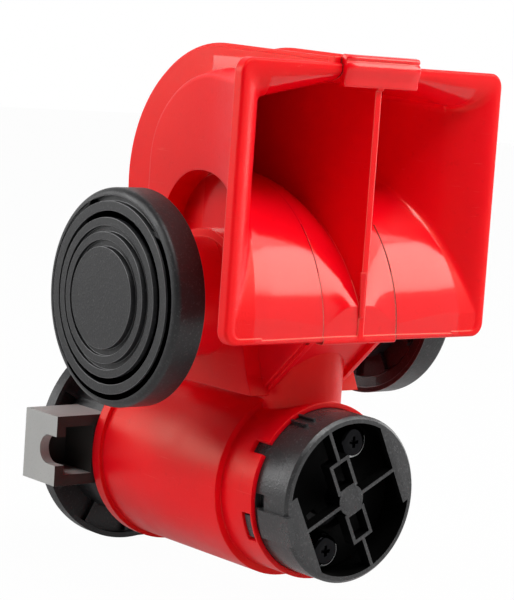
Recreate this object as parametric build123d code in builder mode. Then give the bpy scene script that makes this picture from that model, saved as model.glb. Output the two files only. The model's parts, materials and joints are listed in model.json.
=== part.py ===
from build123d import *
from math import cos, radians, sin, sqrt
import os

os.makedirs("parts", exist_ok=True)

# Compact twin-tone air horn: a double spiral bell over a vane pump and its motor.
# Frame: +Z up, the mouth faces -Y. The origin is on the axis of the M8 mounting bolt,
# in the bracket's outer face; the bolt points along X, level with the motor's axis.
# Distances called x are from the plane of symmetry, y from the mouth's plane backwards,
# and z in the bell from the middle of the mouth.

# ---------------------------------------------------------------- driving sizes, mm
# Places of the main groups
bracket_reach = 39.0  # bracket's outer face to the plane of symmetry
mouth_lead = 84.4  # bolt axis to the plane of the mouth
horn_rise = 78.2  # motor axis to the middle of the mouth

# Mouth
mouth_width = 90.8
mouth_height = 72.0
mouth_corner = 3.8  # outer corner radius of the lip
lip_flat = 1.7  # flat width of the lip's front face
lip_depth = 3.2  # depth of the lip's flange
lip_round = 0.8  # rounding of the lip's outer edges
roll_low = 29.4  # the centre section's top roll, from here up
roll_out = 0.9  # how far it stands in front of the lip
lug_wide = 2.4  # small lug beside the roll on the left
lug_high = 2.1
lug_front = 0.8
flare_depth = 9.0  # length of the flare behind the lip
flare_lean = 0.55  # how much each side opens per mm where the flare starts
flare_corner = 1.5  # how much the opening's corners grow towards the lip
flare_reach = 0.9  # share of the flare that its outside follows before it ends in the lip
band_above = 1.6  # how far the centre section's lip stands over its neighbours
band_below = 0.7
band_round = 2.0

# Walls
wall = 2.2  # bell wall
seam_half = 12.8  # half width of the centre section, between the two seams
flange_thick = 1.6  # the centre section's layer of each seam flange
bell_flange_thick = 1.2  # the bell's own layer
bell_flange_step = 1.0  # how far the bell's layer stays inside the outline
divider_thick = 2.0

# Seam flange outline
flange_radius = 39.3
flange_centre_y = 50.0
flange_lift = 1.4  # the flange's top over the lip where they meet
flange_turn = -25.0  # where the flange leaves its arc, degrees
web_front_y = 4.4  # where the flange's lower edge starts behind the lip
web_toe_y = 23.2  # where it reaches the sleeve
web_sink = 1.8  # how far the flange's lower edge goes into the sleeve
web_thick = 2.4
web_inset = 1.2  # how far the web stands back between the flanges
core_front_y = 9.0  # hollow between the flanges
core_long = 54.0
core_high = 16.0

# Spiral, in the plane of the seams
roof_step = 3.1  # the lip stands this far over the spiral's roof
roof_length = 44.0  # where the roof starts to curve down
roof_fall = 0.22  # fall of the roof per mm outside the seam
roof_slide = 0.3  # how much earlier it curves down, per mm outside the seam
roof_radius = 29.5
roof_turn = 40.0  # where the roof's arc tightens, degrees
back_radius = 24.0
tail_drop = 38.0  # how far the spiral's back runs down after its arcs

# Hump: the spiral's inner wall, as front arcs (middle y, middle z over the mouth's foot, radius)
hump_crest = (41.9, 0.2, 41.8)  # at the seams
hump_root = (44.4, -11.9, 48.9)  # against the divider
hump_side = (42.5, 0.2, 42.7)  # against the side wall
hump_wall = 1.6
hump_fillet = 2.5  # rounding between the hump and the side wall
hump_front = 0.3  # the hump's foot stays this far behind the mouth's plane
hump_top_y = 46.0
hump_back_y = 61.5
hump_back_z = -20.0
hump_foot = 7.0  # its closed foot reaches this far under the mouth
hump_shoulder = 30.0  # where it has risen to the side wall

# Bell seen from above: half width of the passage at distances behind the mouth
bell_half = 33.4  # at the start of the flare
waist_half = 22.8
waist_y = 34.0
throat_half = 18.6
throat_y = 72.0
outer_round = 1.4  # rounding of the bell's outer long edges
inner_round = 2.5

# Diaphragm hub
hub_y = 44.5
hub_z = -29.4
neck_radius = 16.2
neck_wall = 2.4
neck_end = 41.0  # distance of the neck's end from the plane of symmetry
neck_foot = 19.0  # where the neck stands on its pad
pad_width = 36.0
pad_toe_y = 20.2  # the pad's lower front corner
pad_lift = 0.9
pad_lean = 2.6
nozzle_bore = 5.5
nozzle_wall = 1.8
nozzle_end = 43.9
chamber_floor = 15.0
feed_drop = 10.5  # the air feed runs this far under the hub's axis
throat_bore = 4.4
air_bore = 2.5

# Air riser from the pump
riser_y = 23.0
riser_radius = 11.6
riser_bore = 4.0
riser_bore_y = 18.5
throat_x = 7.0  # throats into the two spirals

# Motor sleeve
sleeve_radius = 26.0
sleeve_bore = 23.6
sleeve_back = 80.0
sleeve_front = 24.0  # where the sleeve steps down to the ring
bead_out = 1.2  # how far the beads stand out
bead_width = 3.4
bead_front = 76.0
ring_radius = 24.0
ring_front = 11.2
ring_bore = 20.5  # seat of the pump
cap_seat_bore = 22.6  # seat of the air cap
cap_seat_back = 16.5
pump_back = 24.0
shoulder_bore = 17.0
key_slot = (143.5, 152.0)  # slots in the ring, degrees about the motor axis
latch_slot = (191.0, 211.5)
latch_slot_front = 11.8
latch_slot_long = 3.4

# Diaphragm capsule, distances from the plane of symmetry outwards
capsule_fit = 0.2  # clearance of one capsule piece in another
base_radius = 24.4
base_thick = 2.2
base_socket = 2.5  # wall of the socket that takes the neck
base_socket_deep = 4.5
base_rib_count = 12
base_rib_deep = 1.4
base_rib_thick = 1.2
base_hole = 1.8  # air holes between the neck's chamber and the diaphragm
base_hole_count = 6
gasket_thick = 0.8
gasket_width = 3.0
diaphragm_radius = 23.2
diaphragm_thick = 0.4
cover_radius = 29.1
cover_rim = 1.5
cover_open = 40.1  # the cover's open rim
cover_inner = 40.9  # its inner shoulder
cover_face = 49.4
cover_wall = 2.0
cover_clamp_bore = 20.5
cover_round = 2.0  # rounding of the cover's outer edge
cover_rings = ((26.9, 29.1), (22.9, 25.5), (19.0, 21.2), (15.3, 17.4), (0, 13.5))
terrace = 0.75  # rise of each ring over the one around it
groove = 1.0

# Air cap
cap_front = -1.3
cap_chamfer = 0.8
cap_hub_deep = 6.0
cap_radius = 22.5
cap_bore = 20.6
cap_turn = 26.5  # the grille stands turned by this angle
cap_hub = 4.1
cap_rib = 1.0
cap_rib_deep = 3.6
cap_frame_half = 3.5
cap_frame_in = 3.0
cap_frame_out = 12.1
cap_chord = 16.0  # the grille's open middle ends at these two chords
cap_plate = 1.6  # the flat segments beyond them
cap_plate_end = 10.4  # each segment stops this far from the spoke on one side
latch_front = -2.9
latch_back = 9.3
latch_out = 0.9
latch_panel = (187.0, 207.0)  # degrees about the motor axis
cap_window = (177.0, 187.0)
window_front = 7.7
prong_places = (113.3, 120.3)
prong_wide = 1.6
prong_front = 5.0
cap_hook = (193.0, 209.0)
hook_front = 12.6
hook_long = 2.2

# Pump, distances along the motor axis from the plane of the mouth
pump_radius = 20.2
pump_front = 7.5
pump_ring_front = 10.5
pump_ring_back = 21.0
running_fit = 0.1
chamber_bore = 12.0
chamber_offset = 1.2
rotor_radius = 10.5
rotor_end_gap = 0.1
vane_thick = 1.9
vane_root = 4.6
vane_fit = 0.05
vane_count = 4
inlet_inner = 6.5
inlet_outer = 9.5
inlet_span = (215.0, 325.0)
port_x = -1.0
port_y = 17.0
port_bore = 1.8
screw_radius = 1.5
screw_head = 4.4
screw_head_high = 3.0
screw_head_round = 1.2
screw_recess = 1.5
washer_radius = 4.9
washer_thick = 1.2
screw_place = (3.6, 14.5)

# Motor
shaft_radius = 2.5
shaft_front = 8.5
shaft_back = 60.0
motor_radius = 21.0
motor_front = 26.0
motor_back = 86.0
can_chamfer = 1.0
bushing_radius = 5.0
bushing_long = 4.0
end_cap_radius = 20.4
end_cap_thick = 4.0
cushion_front = 72.0
cushion_back = 78.0
terminal_wide = 6.3
terminal_thick = 0.8
terminal_back = 105.5
terminal_x = 1.5
terminal_z = -14.0
terminal_pitch = 10.0

# Rear cover and mounting bracket
rear_radius = 23.5
rear_bore = 22.0
dish_radius = 31.0
dish_drop = 0.8  # the dish sits this much under the motor's axis
dish_back = 101.0
dish_thick = 1.8
dish_skirt = 2.2
skirt_wall = 1.5
dish_rib_count = 12
dish_rib_thick = 1.2
dish_rib_deep = 1.6
shroud_left = -5.5
shroud_wide = 24.0
shroud_low = -31.2
shroud_high = -7.0
shroud_back = 107.0
shroud_wall = 1.6
foot_low = -32.2
foot_wide = 17.0
bracket_front = 80.5
bracket_deep = 16.0
bracket_half = 10.0
bracket_wall = 3.1
bracket_back_wall = 2.5
bracket_plate = 3.0
bracket_web = 3.0  # solid between the pocket and the rear cover
bolt_slot = 4.15  # half width of the slot for an M8 bolt
tongue_long = 9.0
tongue_high = 5.6
socket_fit = 0.2

# ------------------------------------------------------------- sizes that follow
mouth_top = mouth_height / 2
roof_height = mouth_top - roof_step  # outer face of the spiral's roof at the seam
bell_foot = lip_flat - mouth_top
flange_front_z = mouth_top + flange_lift
web_foot_z = sleeve_radius - web_sink - horn_rise
hump_foot_z = -mouth_top - hump_foot
flare_side = mouth_width / 2 - lip_flat - bell_half
pocket_deep = bracket_reach - rear_radius - bracket_plate - bracket_web


def side(x):
    """Plane parallel to the seams, with Y and Z measured from the middle of the mouth."""
    return Plane(
        origin=(bracket_reach + x, -mouth_lead, horn_rise), x_dir=(0, 1, 0), z_dir=(1, 0, 0)
    )


def mouth(y):
    """Plane of the mouth moved back by y, facing forward."""
    return Plane(origin=(bracket_reach, y - mouth_lead, horn_rise), x_dir=(1, 0, 0), z_dir=(0, -1, 0))


def across(y):
    """Plane square to the motor axis, y behind the mouth, facing forward."""
    return Plane(origin=(bracket_reach, y - mouth_lead, 0), x_dir=(1, 0, 0), z_dir=(0, -1, 0))


def level(z):
    """Horizontal plane at z over the middle of the mouth, from the mouth backwards."""
    return Plane(origin=(bracket_reach, -mouth_lead, horn_rise + z))


def hub(reach):
    """Plane square to the diaphragm axis, reach from the plane of symmetry, facing outwards."""
    return Plane(
        origin=(bracket_reach - reach, hub_y - mouth_lead, horn_rise + hub_z),
        x_dir=(0, 1, 0),
        z_dir=(-1, 0, 0),
    )


def band(plane, start, stop, inner, outer):
    """Half section of a ring or disc: start to stop along its axis, inner to outer radius."""
    with BuildSketch(plane) as section:
        with Locations(((start + stop) / 2, (inner + outer) / 2)):
            Rectangle(stop - start, outer - inner)
    return section.sketch


def sector(plane, inner, outer, start, stop):
    """Piece of a ring between two angles."""
    with BuildSketch(plane) as section:
        Circle(outer)
        Circle(inner, mode=Mode.SUBTRACT)
        reach = 2 * outer
        Polygon((0, 0), arc_point((0, 0), reach, start), arc_point((0, 0), reach, stop),
                align=None, mode=Mode.INTERSECT)
    return section.sketch


symmetry = Plane.YZ.offset(bracket_reach)
motor_half = Plane(origin=(bracket_reach, -mouth_lead, 0), x_dir=(0, 1, 0), z_dir=(1, 0, 0))
motor_axis = Axis(motor_half.origin, (0, 1, 0))
hub_half = Plane(
    origin=(bracket_reach, hub_y - mouth_lead, horn_rise + hub_z), x_dir=(-1, 0, 0), z_dir=(0, 1, 0)
)
hub_axis = Axis(hub_half.origin, (-1, 0, 0))


def arc_point(centre, radius, angle):
    return (centre[0] + radius * cos(radians(angle)), centre[1] + radius * sin(radians(angle)))


def flange_outline(inset):
    """Closed outline of a seam flange, moved inwards by inset."""
    radius = flange_radius - inset
    centre = (flange_centre_y, 0)
    leave = arc_point(centre, radius, flange_turn)
    run = (leave[1] - web_foot_z) / cos(radians(flange_turn))
    heel = (leave[0] + run * sin(radians(flange_turn)), web_foot_z)
    top = (lip_depth, flange_front_z - inset)
    toe = (web_toe_y + inset, web_foot_z)
    chin = (web_front_y + inset, -mouth_top)
    Line(top, (flange_centre_y, radius))
    CenterArc(centre, radius, 90, flange_turn - 90)
    Polyline(leave, heel, toe, chin, (lip_depth, -mouth_top), top)


def spiral_outline(out, inset):
    """Closed outline of the spiral, out from the seam, its outer wall moved inwards by inset."""
    height = roof_height - roof_fall * out
    length = roof_length - roof_slide * out
    roof_centre = (length, height - roof_radius)
    knee = arc_point(roof_centre, roof_radius, roof_turn)
    back_centre = arc_point(knee, -back_radius, roof_turn)
    tail = arc_point(back_centre, back_radius - inset, 0)
    roof = (-inset, height - inset)
    bend = (tail[0], tail[1] - tail_drop)
    heel = (tail[0] - back_radius / 2, tail[1] - tail_drop - back_radius / 2 + inset)
    Line(roof, (length, height - inset))
    CenterArc(roof_centre, roof_radius - inset, 90, roof_turn - 90)
    CenterArc(back_centre, back_radius - inset, roof_turn, -roof_turn)
    Polyline(tail, bend, heel, (-inset, bell_foot), roof)


def hump_outline(shape, inset):
    """Closed outline of the hump inside the spiral, in one plane parallel to the seams."""
    y0, z0, radius = shape[0], shape[1] - mouth_top, shape[2] - inset
    front = hump_front + inset
    start = (front, z0 + sqrt(radius * radius - (y0 - front) ** 2))
    top = (hump_top_y, z0 + sqrt(radius * radius - (hump_top_y - y0) ** 2))
    back = (hump_back_y - inset, hump_back_z)
    ThreePointArc(start, arc_point((y0, z0), radius, 135), top)
    TangentArc(top, back, tangent=(top[1] - z0, y0 - top[0]))
    Polyline(back, (back[0], hump_foot_z), (front, hump_foot_z), start)


def hump_slope(share):
    """Arcs of the hump between its root at the divider, share 0, and its crest, share 1."""
    rise = share * (2 - share)
    return tuple(root + rise * (crest - root) for root, crest in zip(hump_root, hump_crest))


def hump_section(x, shape, inset):
    with BuildSketch(side(x)) as section:
        with BuildLine():
            hump_outline(shape, inset)
        make_face()
    return section.sketch


def width_outline(extra):
    """Half of the bell seen from above, from the plane of symmetry to the side wall."""
    far = throat_y + back_radius
    front = extra - wall
    bell = (-(bell_half + extra), flare_depth)
    waist = (-(waist_half + extra), waist_y)
    throat = (-(throat_half + extra), throat_y)
    Polyline((0, front), (bell[0], front), bell)
    Spline(bell, waist, throat, tangents=((flare_lean, 1), (0, 1)))
    Polyline(throat, (throat[0], far), (0, far), (0, front))


def spiral_section(out, inset):
    """Section of the spiral, out from the seam on the left side."""
    with BuildSketch(side(-seam_half - out)) as section:
        with BuildLine():
            spiral_outline(out, inset)
        make_face()
    return section.sketch


def width_section(extra):
    with BuildSketch(level(-mouth_height)) as section:
        with BuildLine():
            width_outline(extra)
        make_face()
    return section.sketch


def flange_section(x, inset):
    with BuildSketch(side(x)) as section:
        with BuildLine():
            flange_outline(inset)
        make_face()
    return section.sketch


def front_edges(part):
    """Edges of a lip's front face, without those along the seam."""
    edges = part.faces().sort_by(Axis.Y)[0].edges()
    return edges.filter_by(lambda edge: abs(edge.center().X - bracket_reach) > seam_half + 0.1)


def pad_section(x):
    """The thick pad under the neck, from the hub down to the sleeve."""
    toe = (pad_toe_y, web_foot_z + pad_lift)
    with BuildSketch(side(x)) as section:
        with Locations((hub_y, hub_z)):
            Circle(neck_radius + wall)
        Polygon(toe, (toe[0] + pad_lean, toe[1] + 2 * pad_lean), (hub_y - neck_radius, hub_z),
                (hub_y + neck_radius, hub_z), (toe[0] + pad_width, toe[1]), align=None)
    return section.sketch


def web_section(x):
    """The slanted wall that closes the gap between the flanges under the mouth."""
    chin = (web_front_y + web_inset, web_inset - mouth_top)
    toe = (web_toe_y + web_inset, web_foot_z)
    with BuildSketch(side(x)) as section:
        Polygon(chin, toe, (toe[0] + web_thick, toe[1]), (chin[0] + web_thick, chin[1]), align=None)
    return section.sketch


def core_section(x):
    """The hollow under the hump between the flanges, under its crest and its root alike."""
    with BuildSketch(side(x)) as section:
        with BuildLine():
            hump_outline(hump_crest, wall)
        make_face()
        with BuildLine():
            hump_outline(hump_root, wall)
        make_face(mode=Mode.INTERSECT)
        with Locations((core_front_y + core_long / 2, hump_foot_z)):
            Rectangle(core_long, core_high)
    return section.sketch


def long_edges(part):
    """The curved edges where the side wall meets the spiral's outer wall."""
    curves = part.faces().filter_by(GeomType.EXTRUSION).edges().filter_by(GeomType.BSPLINE)
    return curves.filter_by(lambda edge: edge.center().Z > horn_rise + hub_z)


def hump_edge(part):
    """The curved edge between the hump and the side wall; it runs on into the flare."""
    curves = part.faces().filter_by(GeomType.EXTRUSION).edges().filter_by(GeomType.BSPLINE)
    return curves.filter_by(lambda edge: edge.center().Z < horn_rise + roof_height / 2).sort_by(Axis.Y)[0]


def flare_half(share):
    """Half width of the opening, from the flare's root at share 0 to the lip at share 1."""
    lean = flare_lean * flare_depth
    return bell_half + lean * share + (flare_side - lean) * (1 - sqrt(1 - share * share))


def flare_section(share, inset, inner, lip):
    """Section of the flare from the inner side outwards; its roof and sides end lip inside."""
    opening = 1 - sqrt(1 - share * share)
    half = flare_half(share) + wall - inset
    roof = roof_height - inset + (roof_step - lip + inset) * opening
    low = roof - roof_fall * (half - seam_half) * (1.01 - opening)
    foot = lip - mouth_top
    with BuildSketch(mouth(flare_depth * (1 - share))) as section:
        with BuildLine():
            Polyline((-inner, roof), (-seam_half - 0.2, roof), (-half, low), (-half, foot),
                     (-inner, foot), (-inner, roof))
        make_face()
        fillet(section.vertices().group_by(Axis.X)[0], 1.0 + flare_corner * share)
    return section.sketch


def mirrored(source):
    """The same piece on the other side of the plane of symmetry."""
    with BuildPart() as twin:
        mirror(source.part, about=symmetry)
    return twin


# ------------------------------------------------------------------------- bell
far_side = mouth_width / 2 + wall
spread = mouth_width / 2 - seam_half
slope_wide = seam_half - divider_thick / 2
slope_steps = 4
hump_stations = (
    (-seam_half, hump_crest),
    (-hump_shoulder, hump_side),
    (-far_side, hump_side),
)

with BuildPart() as hump:
    loft([hump_section(-divider_thick / 2 - slope_wide * step / slope_steps,
                       hump_slope(step / slope_steps), 0) for step in range(slope_steps + 1)])
    loft([hump_section(x, shape, 0) for x, shape in hump_stations], ruled=True)

with BuildPart() as hump_core:
    loft([hump_section(x, shape, hump_wall) for x, shape in hump_stations], ruled=True)

# The air's way through one side: flared mouth, spiral over the hump, narrow tail
flare_steps = 4
with BuildPart() as left_passage:
    extrude(spiral_section(0, wall), amount=seam_half - divider_thick / 2)
    loft([spiral_section(0, wall), spiral_section(spread, wall)], ruled=True)
    extrude(width_section(0), amount=2 * mouth_height, mode=Mode.INTERSECT)
    fillet(long_edges(left_passage), inner_round)
    loft([flare_section(step / flare_steps, wall, divider_thick / 2, lip_flat)
          for step in range(flare_steps + 1)])
    add(hump.part, mode=Mode.SUBTRACT)
    fillet(hump_edge(left_passage), hump_fillet)
right_passage = mirrored(left_passage)

# Left bell: half of the spiral, its flange layer, the lip and the diaphragm neck
nozzle_radius = nozzle_bore + nozzle_wall
chamber_radius = neck_radius - neck_wall
with BuildPart() as left_lip:
    with BuildSketch(mouth(0)):
        RectangleRounded(mouth_width, mouth_height, mouth_corner)
        with Locations((mouth_width / 2 - seam_half, 0)):
            Rectangle(mouth_width, mouth_height, mode=Mode.SUBTRACT)
    extrude(amount=-lip_depth)
    fillet(front_edges(left_lip), lip_round)

with BuildPart() as left_bell:
    loft([spiral_section(0, 0), spiral_section(spread, 0)], ruled=True)
    extrude(width_section(wall), amount=2 * mouth_height, mode=Mode.INTERSECT)
    fillet(long_edges(left_bell), outer_round)
    loft([flare_section(flare_reach * step / flare_steps, 0, seam_half, lip_round)
          for step in range(flare_steps + 1)])
    add(hump_core.part, mode=Mode.SUBTRACT)
    add(left_lip.part)
    extrude(flange_section(-seam_half, bell_flange_step), amount=-bell_flange_thick)
    extrude(pad_section(-seam_half), amount=seam_half - neck_foot)
    revolve(band(hub_half, neck_foot, neck_end, 0, neck_radius), axis=hub_axis)
    add(left_passage.part, mode=Mode.SUBTRACT)
    revolve(band(hub_half, chamber_floor, neck_end, nozzle_radius, chamber_radius),
            axis=hub_axis, mode=Mode.SUBTRACT)
    revolve(band(hub_half, neck_end, nozzle_end, 0, nozzle_radius), axis=hub_axis)
    revolve(band(hub_half, seam_half, nozzle_end, 0, nozzle_bore), axis=hub_axis, mode=Mode.SUBTRACT)
    with BuildSketch(hub(seam_half)):
        with Locations((0, feed_drop)):
            Circle(air_bore)
    extrude(amount=chamber_floor - seam_half, mode=Mode.SUBTRACT)
right_bell = mirrored(left_bell)

# Centre body: both seam flanges, the band between them, the divider, the air riser and the
# sleeve that holds pump and motor
flange_in = seam_half - flange_thick
with BuildPart() as centre_lip:
    with BuildSketch(mouth(0)):
        with Locations((0, (band_above - band_below) / 2)):
            Rectangle(2 * seam_half, mouth_height + band_above + band_below)
    extrude(amount=-lip_depth)
    top_edges = centre_lip.faces().sort_by(Axis.Z)[-1].edges().filter_by(Axis.X)
    fillet(top_edges.sort_by(Axis.Y)[0], band_round)
    fillet(centre_lip.faces().sort_by(Axis.Z)[0].edges().filter_by(Axis.X), lip_round)
    roll_high = mouth_top + band_above - roll_low
    with BuildSketch(side(-seam_half)):
        with Locations((lip_depth / 2 - roll_out, roll_low + roll_high / 2)):
            RectangleRounded(lip_depth, roll_high, roll_out)
    extrude(amount=2 * seam_half)
    with BuildSketch(mouth(lug_front)):
        with Locations((-seam_half - lug_wide / 2, mouth_top + band_above - lug_high / 2)):
            Rectangle(lug_wide, lug_high)
    extrude(amount=lug_front - lip_depth)

with BuildPart() as centre_body:
    extrude(spiral_section(0, 0), amount=2 * seam_half)
    extrude(flange_section(-seam_half, 0), amount=flange_thick)
    extrude(flange_section(flange_in, 0), amount=flange_thick)
    extrude(core_section(-flange_in), amount=2 * flange_in, mode=Mode.SUBTRACT)
    add(centre_lip.part)
    extrude(web_section(-flange_in), amount=2 * flange_in)
    with BuildSketch(hub(-flange_in)):
        Circle(neck_radius)
    extrude(amount=2 * flange_in)
    with BuildSketch(Plane(origin=(bracket_reach, riser_y - mouth_lead, 0))):
        Circle(riser_radius)
    extrude(amount=horn_rise + hub_z)
    # Sleeve and ring
    revolve(band(motor_half, ring_front, sleeve_front, 0, ring_radius), axis=motor_axis)
    revolve(band(motor_half, sleeve_front, sleeve_back, 0, sleeve_radius), axis=motor_axis)
    revolve(band(motor_half, bead_front, bead_front + bead_width, 0, sleeve_radius + bead_out),
            axis=motor_axis)
    revolve(band(motor_half, ring_front, cap_seat_back, 0, cap_seat_bore), axis=motor_axis,
            mode=Mode.SUBTRACT)
    revolve(band(motor_half, cap_seat_back, pump_back, 0, ring_bore), axis=motor_axis,
            mode=Mode.SUBTRACT)
    revolve(band(motor_half, pump_back, sleeve_back, 0, shoulder_bore), axis=motor_axis,
            mode=Mode.SUBTRACT)
    revolve(band(motor_half, motor_front, sleeve_back, 0, sleeve_bore), axis=motor_axis,
            mode=Mode.SUBTRACT)
    add(left_passage.part, mode=Mode.SUBTRACT)
    add(right_passage.part, mode=Mode.SUBTRACT)
    # Air ways: riser, feed to both hubs, nozzle ends and throats
    feed_z = horn_rise + hub_z - feed_drop
    with BuildSketch(Plane(origin=(bracket_reach, riser_bore_y - mouth_lead, 0))):
        Circle(riser_bore)
    extrude(amount=feed_z, mode=Mode.SUBTRACT)
    with BuildSketch(across(riser_bore_y)):
        with Locations((0, feed_z)):
            Circle(air_bore)
    extrude(amount=riser_bore_y - hub_y, mode=Mode.SUBTRACT)
    with BuildSketch(hub(-seam_half)):
        with Locations((0, feed_drop)):
            Circle(air_bore)
    extrude(amount=2 * seam_half, mode=Mode.SUBTRACT)
    with BuildSketch(across(hub_y)):
        with Locations((-throat_x, horn_rise + hub_z), (throat_x, horn_rise + hub_z)):
            Circle(throat_bore)
    extrude(amount=hub_y - hump_back_y - wall, mode=Mode.SUBTRACT)
    nozzle_floor = throat_x - throat_bore / 2
    revolve(band(hub_half, nozzle_floor, seam_half, 0, nozzle_bore), axis=hub_axis, mode=Mode.SUBTRACT)
    revolve(band(hub_half, -seam_half, -nozzle_floor, 0, nozzle_bore), axis=hub_axis,
            mode=Mode.SUBTRACT)
    # Snap slots for the air cap
    for turn in (0, 180):
        key_from, key_to = key_slot
        latch_from, latch_to = latch_slot
        extrude(sector(across(ring_front), ring_bore, sleeve_radius, key_from + turn, key_to + turn),
                amount=ring_front - cap_seat_back, mode=Mode.SUBTRACT)
        extrude(sector(across(latch_slot_front), ring_bore, sleeve_radius, latch_from + turn,
                       latch_to + turn), amount=-latch_slot_long, mode=Mode.SUBTRACT)

# Diaphragm capsules: base, gasket, diaphragm and cover
base_face = neck_end + base_thick
gasket_face = base_face + gasket_thick
diaphragm_face = gasket_face + diaphragm_thick
cover_floor = cover_face - cover_wall
socket_bore = neck_radius + capsule_fit
with BuildPart() as left_base:
    revolve(band(hub_half, neck_end, base_face, 0, base_radius), axis=hub_axis)
    revolve(band(hub_half, neck_end - base_socket_deep, neck_end, socket_bore,
                 socket_bore + base_socket), axis=hub_axis)
    rib_from = socket_bore + base_socket / 2
    rib_long = base_radius - capsule_fit - rib_from
    with BuildSketch(hub(neck_end)):
        with PolarLocations(rib_from + rib_long / 2, base_rib_count):
            Rectangle(rib_long, base_rib_thick)
    extrude(amount=-base_rib_deep)
    with BuildSketch(hub(base_face)):
        Circle(nozzle_radius + capsule_fit)
        with PolarLocations((nozzle_radius + chamber_radius) / 2, base_hole_count):
            Circle(base_hole)
    extrude(amount=-base_thick, mode=Mode.SUBTRACT)

with BuildPart() as left_gasket:
    revolve(band(hub_half, base_face, gasket_face, diaphragm_radius - gasket_width, diaphragm_radius),
            axis=hub_axis)

with BuildPart() as left_diaphragm:
    revolve(band(hub_half, gasket_face, diaphragm_face, 0, diaphragm_radius), axis=hub_axis)

with BuildPart() as left_cover:
    revolve(band(hub_half, cover_open, cover_face - groove, 0, cover_radius), axis=hub_axis)
    for step, (inner, outer) in enumerate(cover_rings):
        ring_face = cover_face + step * terrace
        revolve(band(hub_half, cover_floor, ring_face - groove, 0, outer), axis=hub_axis)
        revolve(band(hub_half, cover_floor, ring_face, inner, outer), axis=hub_axis)
    revolve(band(hub_half, cover_open, cover_inner, 0, cover_radius - cover_rim), axis=hub_axis,
            mode=Mode.SUBTRACT)
    revolve(band(hub_half, cover_inner, diaphragm_face, 0, base_radius + capsule_fit), axis=hub_axis,
            mode=Mode.SUBTRACT)
    revolve(band(hub_half, diaphragm_face, cover_floor, 0, cover_clamp_bore), axis=hub_axis,
            mode=Mode.SUBTRACT)
    outer_edge = left_cover.edges().filter_by(GeomType.CIRCLE).filter_by(
        lambda edge: edge.radius > cover_radius - 0.01 and edge.center().X < bracket_reach - neck_end)
    fillet(outer_edge, cover_round)

right_base = mirrored(left_base)
right_gasket = mirrored(left_gasket)
right_diaphragm = mirrored(left_diaphragm)
right_cover = mirrored(left_cover)

# Air cap with its grille
cap_spoke = (cos(radians(cap_turn)), 0, sin(radians(cap_turn)))
cap_face = Plane(origin=across(cap_front).origin, x_dir=cap_spoke, z_dir=(0, -1, 0))
with BuildPart() as front_cap:
    revolve(band(motor_half, cap_front, cap_seat_back, cap_bore, cap_radius), axis=motor_axis)
    chamfer(front_cap.edges().filter_by(GeomType.CIRCLE).sort_by(Axis.Y)[:2].sort_by(SortBy.RADIUS)[-1],
            cap_chamfer)
    with BuildSketch(cap_face):
        Rectangle(2 * cap_chord, cap_rib)
        spoke_long = cap_bore + wall / 2 - cap_frame_out
        frame_mid = (cap_frame_in + cap_frame_out) / 2
        frame_long = cap_frame_out - cap_frame_in
        with PolarLocations(cap_frame_out + spoke_long / 2, 2, start_angle=90):
            Rectangle(spoke_long, cap_rib)
        with PolarLocations(frame_mid, 2, start_angle=90):
            Rectangle(frame_long, 2 * cap_frame_half)
            Rectangle(frame_long - 2 * cap_rib, 2 * cap_frame_half - 2 * cap_rib, mode=Mode.SUBTRACT)
        Circle(cap_hub)
    extrude(amount=-cap_rib_deep)
    with BuildSketch(cap_face):
        Circle(cap_hub)
    extrude(amount=-cap_hub_deep)
    # Flat segments that close the two sides of the grille
    with BuildSketch(cap_face):
        Circle(cap_bore + cap_rib / 2)
        Rectangle(2 * cap_chord, 2 * cap_radius, mode=Mode.SUBTRACT)
        past = cap_plate_end + cap_radius / 2
        with Locations((cap_radius, -past), (-cap_radius, past)):
            Rectangle(cap_radius, cap_radius, mode=Mode.SUBTRACT)
    extrude(amount=-cap_plate)
    # Latch panel, its window and the two locating prongs
    latch_from, latch_to = latch_panel
    extrude(sector(across(latch_front), cap_radius - 1, cap_radius + latch_out, latch_from, latch_to),
            amount=latch_front - latch_back)
    window_from, window_to = cap_window
    extrude(sector(across(window_front), cap_bore - 1, cap_radius + 1, window_from, window_to),
            amount=window_front - ring_front, mode=Mode.SUBTRACT)
    for place in prong_places:
        extrude(sector(across(prong_front), cap_radius - 1, cap_radius + latch_out, place,
                       place + prong_wide), amount=prong_front - ring_front)
    # Hooks in the ring's latch slots
    for turn in (0, 180):
        hook_from, hook_to = cap_hook
        extrude(sector(across(hook_front), cap_radius - 1, cap_radius + latch_out, hook_from + turn,
                       hook_to + turn), amount=-hook_long)

# Pump: end plates, eccentric ring, rotor with vanes
screw_places = (screw_place, (-screw_place[0], -screw_place[1]))
with BuildPart() as pump_front_plate:
    revolve(band(motor_half, pump_front, pump_ring_front, 0, pump_radius), axis=motor_axis)
    extrude(sector(across(pump_front), inlet_inner, inlet_outer, *inlet_span),
            amount=pump_front - pump_ring_front, mode=Mode.SUBTRACT)
    with BuildSketch(across(pump_front)):
        with Locations(*screw_places):
            Circle(screw_radius)
    extrude(amount=pump_front - pump_ring_front, mode=Mode.SUBTRACT)
    revolve(band(motor_half, shaft_front, pump_ring_front, 0, shaft_radius + running_fit),
            axis=motor_axis, mode=Mode.SUBTRACT)

pump_long = pump_ring_back - pump_ring_front
with BuildPart() as pump_ring:
    with BuildSketch(across(pump_ring_front)):
        Circle(pump_radius)
        with Locations((chamber_offset, 0)):
            Circle(chamber_bore, mode=Mode.SUBTRACT)
        with Locations(*screw_places):
            Circle(screw_radius, mode=Mode.SUBTRACT)
    extrude(amount=-pump_long)
    with BuildSketch(Plane(origin=(bracket_reach + port_x, port_y - mouth_lead, 0))):
        Circle(port_bore)
    extrude(amount=ring_radius, mode=Mode.SUBTRACT)

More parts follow.
